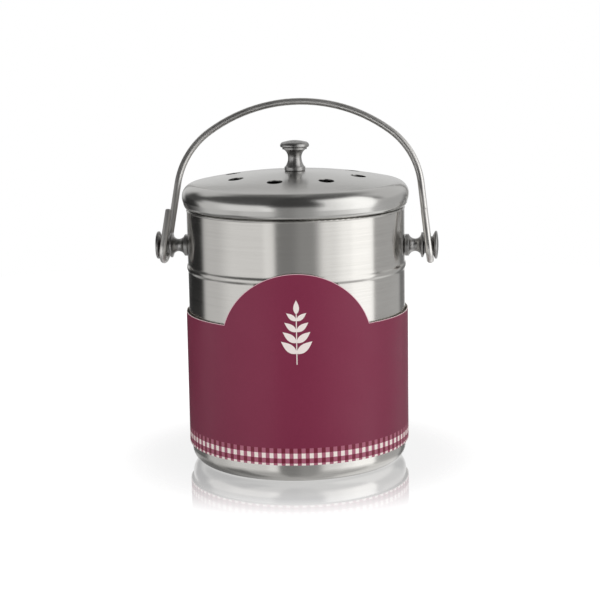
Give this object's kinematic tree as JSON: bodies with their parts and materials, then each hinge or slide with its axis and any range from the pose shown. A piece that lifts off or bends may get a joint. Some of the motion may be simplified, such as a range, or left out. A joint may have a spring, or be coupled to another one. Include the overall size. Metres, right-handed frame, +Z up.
{
  "type": "kitchen compost bin",
  "caption": "Round steel worktop compost bin with a vented domed lid, turned knob, carbon filter in a push-fit cage, swinging wire bail and a plain card sleeve.",
  "frame": {"origin": "middle of the base, on the worktop", "axes": "+Z up, X along the stud axis with the right stud at +X, front with the sleeve's tab at -Y"},
  "size_m": [0.1726, 0.1372, 0.2182],
  "materials": {
    "satin_steel": "satin brushed stainless sheet",
    "lid_steel": "satin spun stainless sheet",
    "turned_steel": "turned and polished stainless",
    "bright_wire": "bright drawn stainless wire",
    "zinc_fixings": "bright zinc plate",
    "maroon_card": "matt coated printed card",
    "black_moulding": "moulded polypropylene, fine texture",
    "carbon_foam": "open-cell foam loaded with carbon"
  },
  "bodies": {
    "bin": {"bin_body": "satin_steel", "label_sleeve": "maroon_card", "left_handle_stud": "turned_steel", "right_handle_stud": "turned_steel", "left_stud_washer": "zinc_fixings", "right_stud_washer": "zinc_fixings", "left_stud_screw": "zinc_fixings", "right_stud_screw": "zinc_fixings"},
    "bail": {"bail_handle": "bright_wire"},
    "lid": {"lid_shell": "lid_steel", "lid_plug_ring": "lid_steel", "lid_knob": "turned_steel", "knob_washer": "zinc_fixings", "knob_screw": "zinc_fixings"},
    "cage": {"filter_cage": "black_moulding"},
    "filter": {"carbon_filter": "carbon_foam"}
  },
  "joints": [
    {"name": "bail_swing", "type": "hinge", "parent": "bin", "child": "bail", "pos_m": [0, 0, 0.1315], "axis": [1, 0, 0], "range_deg": [-106, 152]},
    {"name": "lid_lift", "type": "slide", "parent": "bin", "child": "lid", "axis": [0, 0, 1], "range_m": [0, 0.018]},
    {"name": "filter_cage_pull", "type": "slide", "parent": "lid", "child": "cage", "axis": [0, 0, -1], "range_m": [0, 0.0082]},
    {"name": "carbon_filter_lift", "type": "slide", "parent": "cage", "child": "filter", "axis": [0, 0, 1], "range_m": [0, 0.009]}
  ]
}
